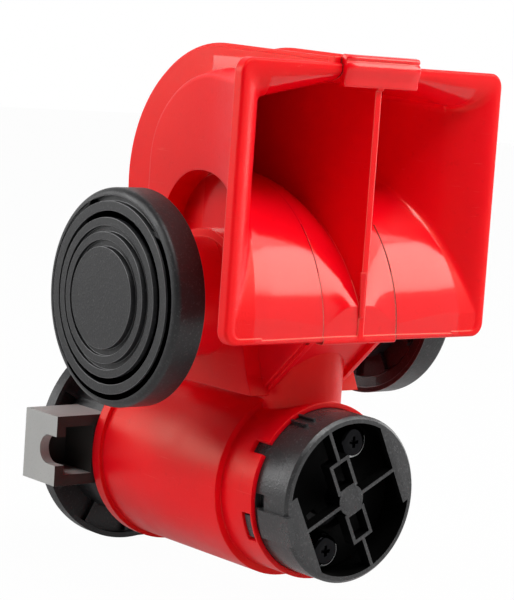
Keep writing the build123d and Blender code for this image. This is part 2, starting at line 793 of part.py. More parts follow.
with BuildPart() as pump_rear_plate:
    with BuildSketch(across(pump_ring_back)):
        Circle(pump_radius)
        Circle(shaft_radius + running_fit, mode=Mode.SUBTRACT)
        with Locations(*screw_places):
            Circle(screw_radius, mode=Mode.SUBTRACT)
    extrude(amount=pump_ring_back - pump_back)

rotor_long = pump_long - 2 * rotor_end_gap
with BuildPart() as pump_rotor:
    with BuildSketch(across(pump_ring_front + rotor_end_gap)):
        Circle(rotor_radius)
        Circle(shaft_radius, mode=Mode.SUBTRACT)
        vane_slot_root = vane_root - vane_fit
        with PolarLocations(vane_slot_root + rotor_radius / 2, vane_count, start_angle=45):
            Rectangle(rotor_radius, vane_thick + 2 * vane_fit, mode=Mode.SUBTRACT)
    extrude(amount=-rotor_long)

with BuildPart() as pump_vanes:
    vane_long = rotor_radius - vane_fit - vane_root
    with BuildSketch(across(pump_ring_front + rotor_end_gap)):
        with PolarLocations(vane_root + vane_long / 2, vane_count, start_angle=45):
            Rectangle(vane_long, vane_thick)
    extrude(amount=-rotor_long)

washer_front = pump_front - washer_thick
head_front = washer_front - screw_head_high
with BuildPart() as pump_screws:
    with BuildSketch(across(head_front)):
        with Locations(*screw_places):
            Circle(screw_head)
    extrude(amount=-screw_head_high)
    fillet(pump_screws.edges().filter_by(GeomType.CIRCLE).group_by(Axis.Y)[0], screw_head_round)
    with BuildSketch(across(washer_front)):
        with Locations(*screw_places):
            Circle(screw_radius)
    extrude(amount=washer_front - pump_back)
    with BuildSketch(across(head_front)):
        with Locations(*screw_places):
            Rectangle(2 * screw_recess, screw_recess / 2)
            Rectangle(screw_recess / 2, 2 * screw_recess)
    extrude(amount=-screw_head_round, mode=Mode.SUBTRACT)

with BuildPart() as pump_washers:
    with BuildSketch(across(washer_front)):
        with Locations(*screw_places):
            Circle(washer_radius)
            Circle(screw_radius, mode=Mode.SUBTRACT)
    extrude(amount=-washer_thick)

# Motor: sealed can, nose bushing, end cap, shaft, cushion and terminals
with BuildPart() as motor_shaft:
    revolve(band(motor_half, shaft_front, shaft_back, 0, shaft_radius), axis=motor_axis)

bushing_back = motor_front + bushing_long
with BuildPart() as motor_can:
    revolve(band(motor_half, motor_front, motor_back, 0, motor_radius), axis=motor_axis)
    chamfer(motor_can.edges().filter_by(GeomType.CIRCLE), can_chamfer)
    revolve(band(motor_half, motor_front, bushing_back, 0, bushing_radius), axis=motor_axis,
            mode=Mode.SUBTRACT)
    revolve(band(motor_half, motor_front, shaft_back + 1, 0, shaft_radius + running_fit),
            axis=motor_axis, mode=Mode.SUBTRACT)

with BuildPart() as motor_bushing:
    revolve(band(motor_half, motor_front, bushing_back, shaft_radius + running_fit, bushing_radius),
            axis=motor_axis)

terminal_places = ((terminal_x, terminal_z), (terminal_x + terminal_pitch, terminal_z))
with BuildPart() as motor_end_cap:
    revolve(band(motor_half, motor_back, motor_back + end_cap_thick, 0, end_cap_radius), axis=motor_axis)
    with BuildSketch(across(motor_back)):
        with Locations(*terminal_places):
            Rectangle(terminal_thick, terminal_wide)
    extrude(amount=-end_cap_thick, mode=Mode.SUBTRACT)

with BuildPart() as terminals:
    with BuildSketch(across(motor_back)):
        with Locations(*terminal_places):
            Rectangle(terminal_thick, terminal_wide)
    extrude(amount=motor_back - terminal_back)

with BuildPart() as motor_cushion:
    revolve(band(motor_half, cushion_front, cushion_back, motor_radius, sleeve_bore), axis=motor_axis)

# Rear cover: cylinder in the sleeve's mouth, ribbed dish and terminal shroud
dish_front = dish_back - dish_thick
skirt_front = dish_front - dish_skirt
shroud_middle = (shroud_left + shroud_wide / 2, (shroud_low + shroud_high) / 2)
shroud_high_size = shroud_high - shroud_low
with BuildPart() as rear_cover:
    revolve(band(motor_half, cushion_back, dish_back, 0, rear_radius), axis=motor_axis)
    with BuildSketch(across(dish_front)):
        with Locations((0, -dish_drop)):
            Circle(dish_radius)
    extrude(amount=dish_front - dish_back)
    with BuildSketch(across(skirt_front)):
        with Locations((0, -dish_drop)):
            Circle(dish_radius)
            Circle(dish_radius - skirt_wall, mode=Mode.SUBTRACT)
    extrude(amount=skirt_front - dish_front)
    with BuildSketch(across(dish_front)):
        rib_long = dish_radius - rear_radius
        with PolarLocations(rear_radius + rib_long / 2 - skirt_wall / 2, dish_rib_count):
            Rectangle(rib_long - skirt_wall / 2, dish_rib_thick)
    extrude(amount=dish_rib_deep)
    with BuildSketch(across(dish_back)):
        with Locations(shroud_middle):
            Rectangle(shroud_wide, shroud_high_size)
            Rectangle(shroud_wide - 2 * shroud_wall, shroud_high_size - 2 * shroud_wall,
                      mode=Mode.SUBTRACT)
    extrude(amount=dish_back - shroud_back)
    with BuildSketch(across(dish_front)):
        with Locations((shroud_left + shroud_wide - foot_wide / 2, (foot_low - rear_radius) / 2)):
            Rectangle(foot_wide, -foot_low - rear_radius)
    extrude(amount=dish_front - dish_back)
    revolve(band(motor_half, cushion_back, dish_front, 0, rear_bore), axis=motor_axis, mode=Mode.SUBTRACT)
    with BuildSketch(across(dish_front)):
        with Locations(*terminal_places):
            Rectangle(terminal_thick + 2 * capsule_fit, terminal_wide + 2 * capsule_fit)
    extrude(amount=-dish_thick, mode=Mode.SUBTRACT)
    # Socket for the bracket's tongue
    with BuildSketch(Plane.YZ.offset(bracket_reach - rear_bore + 1)):
        with Locations((bracket_front + bracket_deep / 2 - mouth_lead, 0)):
            Rectangle(tongue_long + 2 * socket_fit, tongue_high + 2 * socket_fit)
    extrude(amount=-2 * wall, mode=Mode.SUBTRACT)

# Mounting bracket: slotted plate on two arms, rooted in the rear cover
bracket_y = bracket_front - mouth_lead
bracket_middle = (bracket_y + bracket_deep / 2, 0)
with BuildPart() as mounting_bracket:
    with BuildSketch(Plane.YZ):
        with Locations(bracket_middle):
            Rectangle(bracket_deep, 2 * bracket_half)
    extrude(amount=bracket_reach)
    with BuildSketch(Plane.YZ.offset(bracket_plate)):
        with Locations((bracket_y + (bracket_deep - bracket_back_wall) / 2, 0)):
            Rectangle(bracket_deep - bracket_back_wall, 2 * (bracket_half - bracket_wall))
    extrude(amount=pocket_deep, mode=Mode.SUBTRACT)
    with BuildSketch(Plane.YZ):
        Circle(bolt_slot)
        with Locations((bracket_y / 2, 0)):
            Rectangle(-bracket_y, 2 * bolt_slot)
    extrude(amount=bracket_plate, mode=Mode.SUBTRACT)
    revolve(band(motor_half, cushion_back, dish_back, 0, rear_radius + socket_fit / 2), axis=motor_axis,
            mode=Mode.SUBTRACT)
    with BuildSketch(Plane.YZ.offset(bracket_reach - rear_radius - 1)):
        with Locations(bracket_middle):
            Rectangle(tongue_long, tongue_high)
    extrude(amount=rear_radius - rear_bore + 1)

parts = {
    "centre_body": centre_body,
    "left_bell": left_bell,
    "right_bell": right_bell,
    "left_cover": left_cover,
    "right_cover": right_cover,
    "left_base": left_base,
    "right_base": right_base,
    "left_gasket": left_gasket,
    "right_gasket": right_gasket,
    "left_diaphragm": left_diaphragm,
    "right_diaphragm": right_diaphragm,
    "front_cap": front_cap,
    "pump_front_plate": pump_front_plate,
    "pump_ring": pump_ring,
    "pump_rear_plate": pump_rear_plate,
    "pump_rotor": pump_rotor,
    "pump_vanes": pump_vanes,
    "pump_screws": pump_screws,
    "pump_washers": pump_washers,
    "motor_shaft": motor_shaft,
    "motor_bushing": motor_bushing,
    "motor_can": motor_can,
    "motor_end_cap": motor_end_cap,
    "motor_cushion": motor_cushion,
    "terminals": terminals,
    "rear_cover": rear_cover,
    "mounting_bracket": mounting_bracket,
}
for name, piece in parts.items():
    piece.part.label = name
    export_step(piece.part, "parts/" + name + ".step")
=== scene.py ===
import bmesh
import bpy
import json
from math import cos, radians, sin
from mathutils import Matrix, Vector


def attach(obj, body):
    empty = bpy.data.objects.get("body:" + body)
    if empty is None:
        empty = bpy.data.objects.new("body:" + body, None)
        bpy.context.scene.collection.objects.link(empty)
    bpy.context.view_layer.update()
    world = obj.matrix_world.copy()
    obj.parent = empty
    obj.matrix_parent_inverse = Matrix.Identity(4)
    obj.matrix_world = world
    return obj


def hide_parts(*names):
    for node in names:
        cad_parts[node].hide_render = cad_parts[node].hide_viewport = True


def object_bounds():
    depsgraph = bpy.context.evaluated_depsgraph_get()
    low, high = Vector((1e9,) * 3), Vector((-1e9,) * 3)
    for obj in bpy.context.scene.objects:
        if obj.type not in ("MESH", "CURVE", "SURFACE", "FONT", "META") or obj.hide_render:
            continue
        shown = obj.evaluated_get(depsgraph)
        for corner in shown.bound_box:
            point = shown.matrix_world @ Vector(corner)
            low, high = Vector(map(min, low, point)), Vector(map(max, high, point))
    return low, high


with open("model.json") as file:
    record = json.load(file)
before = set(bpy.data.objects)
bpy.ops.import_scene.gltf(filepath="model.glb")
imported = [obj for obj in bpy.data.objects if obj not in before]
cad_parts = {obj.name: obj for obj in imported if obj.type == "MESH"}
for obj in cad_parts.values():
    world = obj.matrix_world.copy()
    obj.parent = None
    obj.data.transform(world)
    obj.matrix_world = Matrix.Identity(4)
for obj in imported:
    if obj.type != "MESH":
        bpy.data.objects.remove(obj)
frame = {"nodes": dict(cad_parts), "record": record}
cad_low, cad_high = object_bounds()
nodes = frame["nodes"]

MM = 0.001
# The horn's zero in the shared frame, in mm; the motor's axis runs along Y at height 0
SYMMETRY = 39.0  # plane of symmetry, along X
MOUTH = -84.4  # plane of the mouth, along Y
MOUTH_MIDDLE = 78.2  # middle of the mouth, along Z


# ---------------------------------------------------------------- node helpers
def nodes_of(block):
    """Turns on the nodes of a material or a world and gives its tree."""
    block.use_nodes = True
    return block.node_tree


def new_material(name):
    """An empty material with its tree, its shader and Object coordinates."""
    material = bpy.data.materials.new(name)
    tree = nodes_of(material)
    coords = tree.nodes.new("ShaderNodeTexCoord").outputs["Object"]
    return material, tree, tree.nodes["Principled BSDF"], coords


def feed(tree, socket, value):
    """Links an output or writes a plain value."""
    if isinstance(value, bpy.types.NodeSocket):
        tree.links.new(value, socket)
    else:
        socket.default_value = value


def feed_sockets(tree, node, **values):
    """Feeds a node's sockets by name, with underscores for spaces."""
    for name, value in values.items():
        feed(tree, node.inputs[name.replace("_", " ")], value)


def maths(tree, operation, *values):
    """One Math node over plain values and outputs."""
    node = tree.nodes.new("ShaderNodeMath")
    node.operation = operation
    for socket, value in zip(node.inputs, values):
        feed(tree, socket, value)
    return node.outputs[0]


def product(tree, *values):
    """Two or more values multiplied; on masks it is 1 where all of them are 1."""
    result = values[0]
    for value in values[1:]:
        result = maths(tree, "MULTIPLY", result, value)
    return result


def greatest(tree, *values):
    """The greatest of two or more values; on masks it is 1 where one of them is 1."""
    result = values[0]
    for value in values[1:]:
        result = maths(tree, "MAXIMUM", result, value)
    return result


def over(tree, value, limit):
    """1 where the value, in metres, is over a number in millimetres."""
    return maths(tree, "GREATER_THAN", value, limit * MM)


def under(tree, value, limit):
    """1 where the value, in metres, is under a number in millimetres."""
    return maths(tree, "LESS_THAN", value, limit * MM)


def within(tree, value, low, high):
    """1 where the value, in metres, lies between two numbers in millimetres."""
    return maths(tree, "COMPARE", value, (low + high) / 2 * MM, (high - low) / 2 * MM)


def vector_maths(tree, operation, first, second):
    """One Vector Math node over plain vectors and outputs."""
    node = tree.nodes.new("ShaderNodeVectorMath")
    node.operation = operation
    feed(tree, node.inputs[0], first)
    feed(tree, node.inputs[1], second)
    return node.outputs["Value" if operation == "DOT_PRODUCT" else "Vector"]


def parts_of(tree, vector):
    """The X, Y and Z of a vector."""
    node = tree.nodes.new("ShaderNodeSeparateXYZ")
    tree.links.new(vector, node.inputs[0])
    return node.outputs


def join(tree, x, y, z):
    """A vector of three values."""
    node = tree.nodes.new("ShaderNodeCombineXYZ")
    for socket, value in zip(node.inputs, (x, y, z)):
        feed(tree, socket, value)
    return node.outputs[0]


def from_horn_zero(tree, coords):
    """X, Y and Z counted from the horn's zero, in metres."""
    zero = (SYMMETRY * MM, MOUTH * MM, MOUTH_MIDDLE * MM)
    return parts_of(tree, vector_maths(tree, "SUBTRACT", coords, zero))


def surface_normal(tree):
    """The shaded normal before any bump."""
    return tree.nodes.new("ShaderNodeNewGeometry").outputs["Normal"]


def noise(tree, coords, scale, detail, roughness, distortion=0.0):
    """Noise over Object coordinates; scale is in features per metre."""
    node = tree.nodes.new("ShaderNodeTexNoise")
    tree.links.new(coords, node.inputs["Vector"])
    feed_sockets(tree, node, Scale=scale, Detail=detail, Roughness=roughness, Distortion=distortion)
    return node.outputs["Fac"]


def span(tree, value, low, high, out_low, out_high):
    """Maps a value from one range onto another, and keeps it there."""
    node = tree.nodes.new("ShaderNodeMapRange")
    feed_sockets(tree, node, Value=value, From_Min=low, From_Max=high, To_Min=out_low, To_Max=out_high)
    return node.outputs["Result"]


def blend_colours(tree, share, first, second):
    """The first colour, with the given share of the second."""
    node = tree.nodes.new("ShaderNodeMix")
    node.data_type = "RGBA"
    tree.links.new(share, node.inputs["Factor"])
    colour_sockets = [socket for socket in node.inputs if socket.type == "RGBA"]
    for socket, colour in zip(colour_sockets, (first, second)):
        feed(tree, socket, (*colour, 1) if isinstance(colour, tuple) else colour)
    return [socket for socket in node.outputs if socket.type == "RGBA"][0]


def bump(tree, height, strength, depth, below=None):
    """A bumped normal, depth in mm, on top of the bump or the rounding given as below."""
    node = tree.nodes.new("ShaderNodeBump")
    feed_sockets(tree, node, Height=height, Strength=strength, Distance=depth * MM)
    if below is not None:
        tree.links.new(below, node.inputs["Normal"])
    return node.outputs["Normal"]


# ---------------------------------------------------------------- red moulding
# Polished inside of the bells, in mm from the horn's zero
BELL_VIEWPOINT = (17, -20, 10)  # a point before each bell, which its polished walls face
BELL_HALF_WIDTH = 36.0  # reach of the polish to each side, at the mouth
BELL_TAPER = 0.42  # what that reach loses for each mm of depth
BELL_HALF_HEIGHT = 35.7
BELL_DEPTH = 80
DIVIDER_HALF = 1.2
LIP_FACE = 0.5  # depth of the satin face of the lip
HUMP_TOP = -24  # below this height the humps reach the lip, and so does the polish

# Weld lines, real joints darkened as painted shade in their steps and gaps: ranges along X, Y and Z in
# mm from the horn's zero, and strength
WELD_LINES_AND_SHADE = (
    ((-12.95, -12.7), (-5, 17), (-37.5, -6.5), 0.75),  # down the left hump
    ((12.6, 13.05), (-5, 17), (-37.5, -6.5), 1.0),  # down the right hump
    ((-0.8, -0.62), (-5, 3), (-36.5, -30.0), 0.15),  # below the divider
    ((-13.2, -12.85), (-2, 3.4), (29.6, 38.5), 1.0),  # left of the top roll
    ((12.85, 13.2), (-2, 3.4), (29.6, 38.5), 1.0),  # right of the top roll
)

LIP_DEPTH = 4  # mm behind the mouth's plane, where the painted highlights on the lip's edges end
EDGE_RADIUS = 0.5  # mm; every red edge is shaded as if rounded by it


def inside_the_bell(tree, coords):
    """1 on the polished walls and humps inside the two bells, 0 on the satin outside."""
    x, y, z = from_horn_zero(tree, coords)
    face_x, face_y, face_z = parts_of(tree, surface_normal(tree))
    out = maths(tree, "ABSOLUTE", x)
    face_out = product(tree, face_x, maths(tree, "SIGN", x))
    viewpoint = tuple(place * MM for place in BELL_VIEWPOINT)
    to_viewpoint = vector_maths(tree, "SUBTRACT", viewpoint, join(tree, out, y, z))
    facing = vector_maths(tree, "DOT_PRODUCT", join(tree, face_out, face_y, face_z), to_viewpoint)
    reach = maths(tree, "MULTIPLY_ADD", y, -BELL_TAPER, BELL_HALF_WIDTH * MM)
    behind_lip = greatest(tree, over(tree, y, LIP_FACE), under(tree, z, HUMP_TOP))
    return product(tree, over(tree, facing, 0), maths(tree, "LESS_THAN", out, reach),
                   over(tree, out, DIVIDER_HALF), under(tree, y, BELL_DEPTH), behind_lip,
                   within(tree, z, -BELL_HALF_HEIGHT, BELL_HALF_HEIGHT))


def seams_and_painted_shade(tree, coords):
    """The strength of the weld lines beside the centre body, and 0 elsewhere; they are grooved, and
    darkened as painted shade.
    """
    x, y, z = from_horn_zero(tree, coords)
    lines = [product(tree, within(tree, x, *across), within(tree, y, *deep), within(tree, z, *high),
                     strength)
             for across, deep, high, strength in WELD_LINES_AND_SHADE]
    return greatest(tree, *lines)


def rounded_normal(tree):
    """The surface's normal with every edge rounded off."""
    soft_edge = tree.nodes.new("ShaderNodeBevel")
    soft_edge.samples = 8
    soft_edge.inputs["Radius"].default_value = EDGE_RADIUS * MM
    return soft_edge.outputs["Normal"]


def lip_edge_highlights(tree, coords, rounded):
    """1 on the edges of the lip, where the rounded normal leaves the flat one; they are painted paler
    as a highlight.
    """
    alike = vector_maths(tree, "DOT_PRODUCT", rounded, surface_normal(tree))
    y = parts_of(tree, coords)[1]
    return product(tree, span(tree, alike, 0.97, 0.80, 0, 1), under(tree, y, MOUTH + LIP_DEPTH))


def red_moulding(name, polished_where=None):
    """Red ABS with a fine grain: polished where the given function puts a 1, and satin elsewhere.

    Without a function it is polished all over.
    """
    material, tree, shader, coords = new_material(name)
    polish = polished_where(tree, coords) if polished_where else 1.0
    unpolished = maths(tree, "SUBTRACT", 1.0, polish)
    seam_and_shade = seams_and_painted_shade(tree, coords)
    rounded = rounded_normal(tree)
    rim_highlight = lip_edge_highlights(tree, coords, rounded)

    drift = noise(tree, coords, scale=22, detail=4, roughness=0.55)
    flecks = noise(tree, coords, scale=420, detail=4, roughness=0.7)
    stretched = vector_maths(tree, "MULTIPLY", coords, (1.0, 0.22, 5.0))
    streaks = noise(tree, stretched, scale=300, detail=4, roughness=0.6, distortion=0.6)
    scuffs = product(tree, span(tree, streaks, 0.66, 0.74, 0, 1),
                     span(tree, polish, 0, 1, 0.30, 0.05))
    colour = blend_colours(tree, span(tree, drift, 0.35, 0.7, 0, 1),
                           (0.84, 0.0012, 0.009), (0.92, 0.0020, 0.011))
    for share, tint in ((span(tree, flecks, 0.60, 0.75, 0, 0.30), (0.60, 0.001, 0.006)),
                        (scuffs, (1.0, 0.14, 0.12)),
                        # the seams are darkened as painted shade in their steps and gaps
                        (product(tree, seam_and_shade, 0.9), (0.10, 0.001, 0.002)),
                        # the lip's edges are painted paler as a highlight
                        (product(tree, rim_highlight, 0.85), (1.0, 0.17, 0.13))):
        colour = blend_colours(tree, share, colour, tint)

    patches = noise(tree, coords, scale=90, detail=5, roughness=0.6, distortion=0.4)
    satin = product(tree, span(tree, patches, 0.3, 0.7, 0.30, 0.42), unpolished)
    gloss = product(tree, span(tree, patches, 0.3, 0.7, 0.12, 0.19), polish)
    coat = product(tree, polish, span(tree, seam_and_shade, 0, 0.7, 0.45, 0)) if polished_where else 0.45

    grain = noise(tree, coords, scale=1500, detail=3, roughness=0.6)
    waves = noise(tree, coords, scale=55, detail=3, roughness=0.5)
    groove = bump(tree, span(tree, seam_and_shade, 0, 1, 1, 0), strength=0.8, depth=0.3, below=rounded)
    wavy = bump(tree, waves, strength=0.12, depth=0.4, below=groove)
    grain_strength = span(tree, polish, 0, 1, 0.8, 0.03)
    grainy = bump(tree, grain, strength=grain_strength, depth=0.06, below=wavy)

    feed_sockets(tree, shader, Base_Color=colour, Roughness=maths(tree, "ADD", gloss, satin),
                 Normal=grainy, Coat_Weight=coat, Coat_Roughness=0.10,
                 Specular_Tint=(1.0, 0.94, 0.55, 1), Specular_IOR_Level=0.21,
                 Subsurface_Weight=0.35, Subsurface_Scale=1.0,
                 Subsurface_Radius=(3.5 * MM, 0.4 * MM, 0.6 * MM))
    return material


red_plastic = red_moulding("red_plastic", inside_the_bell)
polished_red = red_moulding("polished_red")


# ---------------------------------------------------------------- other materials
def moulded_plastic(name, colour, deep, rough, grain, depth, strength=0.5, fleck=None, gloss=0.4):
    """Moulded plastic: slow drift between two tones, satin patches, a fine grain, paler flecks.

    Grain is in features per metre, and depth, which is the grain's height, in mm.
    """
    material, tree, shader, coords = new_material(name)
    drift = noise(tree, coords, scale=25, detail=4, roughness=0.55)
    tone = blend_colours(tree, span(tree, drift, 0.35, 0.7, 0, 1), deep, colour)
    if fleck:
        specks = noise(tree, coords, scale=1500, detail=3, roughness=0.75)
        tone = blend_colours(tree, span(tree, specks, 0.56, 0.72, 0, 1), tone, fleck)
    patches = noise(tree, coords, scale=110, detail=5, roughness=0.65, distortion=0.4)
    fine = noise(tree, coords, scale=grain, detail=3, roughness=0.6)
    wide = noise(tree, coords, scale=45, detail=3, roughness=0.5)
    uneven = bump(tree, wide, strength=0.15, depth=0.4)
    feed_sockets(tree, shader, Base_Color=tone, Roughness=span(tree, patches, 0.3, 0.7, *rough),
                 Normal=bump(tree, fine, strength, depth, uneven), Specular_IOR_Level=gloss)
    return material


def metal(name, colour, dark, rough, grain):
    """Plain metal with a cloudy tone and a faint grain."""
    material, tree, shader, coords = new_material(name)
    cloud = noise(tree, coords, scale=90, detail=4, roughness=0.6)
    fine = noise(tree, coords, scale=grain, detail=2, roughness=0.6)
    feed_sockets(tree, shader, Base_Color=blend_colours(tree, cloud, dark, colour),
                 Roughness=span(tree, cloud, 0.3, 0.7, *rough),
                 Normal=bump(tree, fine, strength=0.2, depth=0.03), Metallic=1.0)
    return material


black_plastic = moulded_plastic("black_plastic", (0.013, 0.013, 0.014), (0.008, 0.008, 0.009),
                                rough=(0.34, 0.50), grain=1500, depth=0.08, strength=0.8,
                                fleck=(0.055, 0.055, 0.057))
cap_plastic = moulded_plastic("cap_plastic", (0.032, 0.032, 0.033), (0.018, 0.018, 0.019),
                              rough=(0.24, 0.36), grain=1500, depth=0.14, strength=0.8,
                              fleck=(0.09, 0.09, 0.092), gloss=0.45)
grey_plastic = moulded_plastic("grey_plastic", (0.44, 0.44, 0.425), (0.38, 0.38, 0.37),
                               rough=(0.5, 0.65), grain=1300, depth=0.08, strength=0.6,
                               fleck=(0.33, 0.33, 0.32))
rubber = moulded_plastic("rubber", (0.020, 0.020, 0.020), (0.013, 0.013, 0.013),
                         rough=(0.7, 0.85), grain=2200, depth=0.06)
graphite = moulded_plastic("graphite", (0.03, 0.03, 0.032), (0.018, 0.018, 0.02),
                           rough=(0.45, 0.6), grain=2000, depth=0.04)

# Painted shade: darker, duller plastic for faces deep in the cap, on the pump's front plate and in the
# bracket; painted highlights: paler plastic for rounded edges
painted_shade_plastic = moulded_plastic("painted_shade_plastic", (0.0022, 0.0022, 0.0022), (0.0012, 0.0012, 0.0012),
                                 rough=(0.45, 0.6), grain=1500, depth=0.06, gloss=0.06)
painted_shade_grey = moulded_plastic("painted_shade_grey", (0.060, 0.052, 0.048), (0.030, 0.027, 0.025),
                              rough=(0.5, 0.7), grain=1300, depth=0.08, strength=0.6, gloss=0.15)
black_edge_highlight = moulded_plastic("black_edge_highlight", (0.15, 0.15, 0.153), (0.085, 0.085, 0.088),
                             rough=(0.26, 0.38), grain=1500, depth=0.06, strength=0.6)
grey_edge_highlight = moulded_plastic("grey_edge_highlight", (0.50, 0.50, 0.49), (0.42, 0.42, 0.41),
                            rough=(0.45, 0.6), grain=1300, depth=0.06)

zinc_steel = metal("zinc_steel", (0.62, 0.62, 0.64), (0.45, 0.45, 0.47), (0.18, 0.34), 900)
can_steel = metal("can_steel", (0.5, 0.5, 0.52), (0.36, 0.36, 0.38), (0.3, 0.45), 700)
black_steel = metal("black_steel", (0.012, 0.012, 0.013), (0.006, 0.006, 0.007), (0.08, 0.16), 900)
# Pale metal painted on the lower right of the screw heads' rims as a highlight
painted_highlight_steel = metal("painted_highlight_steel", (0.97, 0.97, 0.98), (0.85, 0.85, 0.86), (0.60, 0.72), 900)
brass = metal("brass", (0.72, 0.52, 0.22), (0.55, 0.38, 0.15), (0.25, 0.4), 900)
aluminium = metal("aluminium", (0.72, 0.72, 0.73), (0.6, 0.6, 0.62), (0.25, 0.4), 900)

slot_material = {
    "red": red_plastic, "black": black_plastic, "grey": grey_plastic, "steel": zinc_steel,
    "can_steel": can_steel, "rubber": rubber, "brass": brass, "aluminium": aluminium,
    "carbon": graphite,
}
# The pump's front plate lies deep in the cap and takes the plastic painted dark as shade
node_material = {
    "pump_screws": black_steel, "pump_washers": black_steel, "pump_front_plate": painted_shade_plastic,
}
for entry in frame["record"]["subparts"]:
    name = entry["node"]
    materials = nodes[name].data.materials
    materials.clear()
    materials.append(node_material.get(name, slot_material[entry["material_slot"]]))


# ---------------------------------------------------------------- pieces
SHARP = 38  # degrees; edges sharper than this are rounded
SMALLEST = 0.004  # mm; corners closer than this become one
FLAT = 0.5  # degrees; faces that meet at less become one
SMOOTH = 20  # degrees; faces that meet at less are shaded as one


def finished(shape, name, materials, smooth_to=SMOOTH):
    """Makes a bmesh a piece of the housing, flat faces flat and round ones smooth."""
    bmesh.ops.recalc_face_normals(shape, faces=shape.faces)
    mesh = bpy.data.meshes.new(name)
    shape.to_mesh(mesh)
    shape.free()
    mesh.polygons.foreach_set("use_smooth", [True] * len(mesh.polygons))
    mesh.set_sharp_from_angle(angle=radians(smooth_to))
    for material in materials:
        mesh.materials.append(material)
    piece = bpy.data.objects.new(name, mesh)
    bpy.context.scene.collection.objects.link(piece)
    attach(piece, "housing")
    return piece


def edges_sharper_than(shape, angle):
    """The edges whose two faces turn by more than the angle, in degrees."""
    return [edge for edge in shape.edges
            if len(edge.link_faces) == 2 and edge.calc_face_angle(0) > radians(angle)]


def round_off(shape, edges, width):
    """Bevels the edges by a width in mm and gives the new faces."""
    made = bmesh.ops.bevel(shape, geom=edges, offset=width * MM, offset_type="OFFSET", segments=2,
                           profile=0.5, affect="EDGES", clamp_overlap=True, material=-1)
    return made["faces"]


def move(shape, corners, x, y, z):
    """Moves corners by millimetres."""
    bmesh.ops.translate(shape, verts=corners, vec=(x * MM, y * MM, z * MM))


def rounded_edges(name, node, material, width, edge_highlight=None, painted_light=None, inner=None):
    """Stands for a CAD node: the same shape, with its sharp edges rounded off by a width in mm.

    The rounded edges take the second material, a paler painted highlight, and the faces that the given
    test picks take the third, which is painted shade in the cap and the bracket and a painted highlight
    on the screws.
    """
    shape = bmesh.new()
    shape.from_mesh(nodes[node].data)
    bmesh.ops.remove_doubles(shape, verts=shape.verts, dist=SMALLEST * MM)
    bmesh.ops.dissolve_limit(shape, angle_limit=radians(FLAT), verts=shape.verts, edges=shape.edges)
    rounded = round_off(shape, edges_sharper_than(shape, SHARP), width)
    shape.normal_update()
    materials = [material]
    if edge_highlight:
        materials.append(edge_highlight)
        for face in rounded:
            face.material_index = materials.index(edge_highlight)
    if painted_light:
        materials.append(painted_light)
        for face in shape.faces:
            if inner(face.calc_center_median(), face.normal):
                face.material_index = materials.index(painted_light)
    piece = finished(shape, name, materials)
    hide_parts(node)


# Places in mm: across from the plane of symmetry, deep from the mouth, high from the motor's axis
SCREW_ACROSS = 3.6  # the upper screw is to the right, the lower one to the left
SCREW_HIGH = 14.5
SCREW_RIM = (3.7, 4.5)  # radii between which the head's rim lies
# The grille and the two hollows below bound the faces that are painted dark as shade
GRILLE_RADIUS = 20.75
GRILLE_FRONT = -1.0
POCKET = ((-36.3, -26.2), (79, 94.3), (-7.2, 7.2))
BOLT_SLOT = ((-38.7, -35), (75.5, 86.4), (-4.4, 4.4))


def painted_highlight_rim(point, facing):
    """True on the lower right of each screw head's rim, which is painted pale metal as a highlight."""
    side = 1 if point.z > 0 else -1
    across = point.x - (SYMMETRY + SCREW_ACROSS * side) * MM
    out = Vector((across, 0, point.z - SCREW_HIGH * side * MM))
    lower_right = out.x > -0.3 * out.length and out.z < 0.4 * out.length
    inner, outer = SCREW_RIM
    on_the_rim = inner * MM < out.length < outer * MM and facing.y < -0.05
    return lower_right and on_the_rim


def painted_shade_in_the_cap(point, facing):
    """True behind the front faces of the air cap's grille, where the plastic is painted dark as shade.
    """
    radius = Vector((point.x - SYMMETRY * MM, point.z)).length
    in_front = facing.y < -0.3 and point.y < (MOUTH + GRILLE_FRONT) * MM
    return radius < GRILLE_RADIUS * MM and not in_front


def painted_shade_in_the_bracket(point, facing):
    """True inside the bracket's pocket and bolt slot, but not on the walls that face up; these faces
    are painted dark as shade.
    """
    place = (point.x / MM - SYMMETRY, point.y / MM - MOUTH, point.z / MM)
    inside = any(all(low < along < high for along, (low, high) in zip(place, hollow))
                 for hollow in (POCKET, BOLT_SLOT))
    return inside and facing.z < 0.5


# The top roll's section, in mm: deep from the mouth's plane and high from the mouth's middle
ROLL_SECTION = (
    (1.0, 30.1), (-0.93, 30.1), (-1.0, 31.5), (-1.15, 32.8), (-1.5, 33.7), (-1.8, 34.6), (-1.8, 35.5),
    (-1.5, 36.3), (-1.1, 36.8), (-1.35, 37.25), (-1.3, 37.8), (-0.85, 38.25), (0.2, 38.45), (1.0, 38.3),
)
ROLL_HALF = 12.82  # half its width
ROLL_EDGE = 0.25
ROLL_RIM = 80  # degrees; only edges sharper than this are rounded
ROLL_SMOOTH = 48  # degrees; faces that meet at less are shaded as one
ROLL_CUTS = 7  # along its width


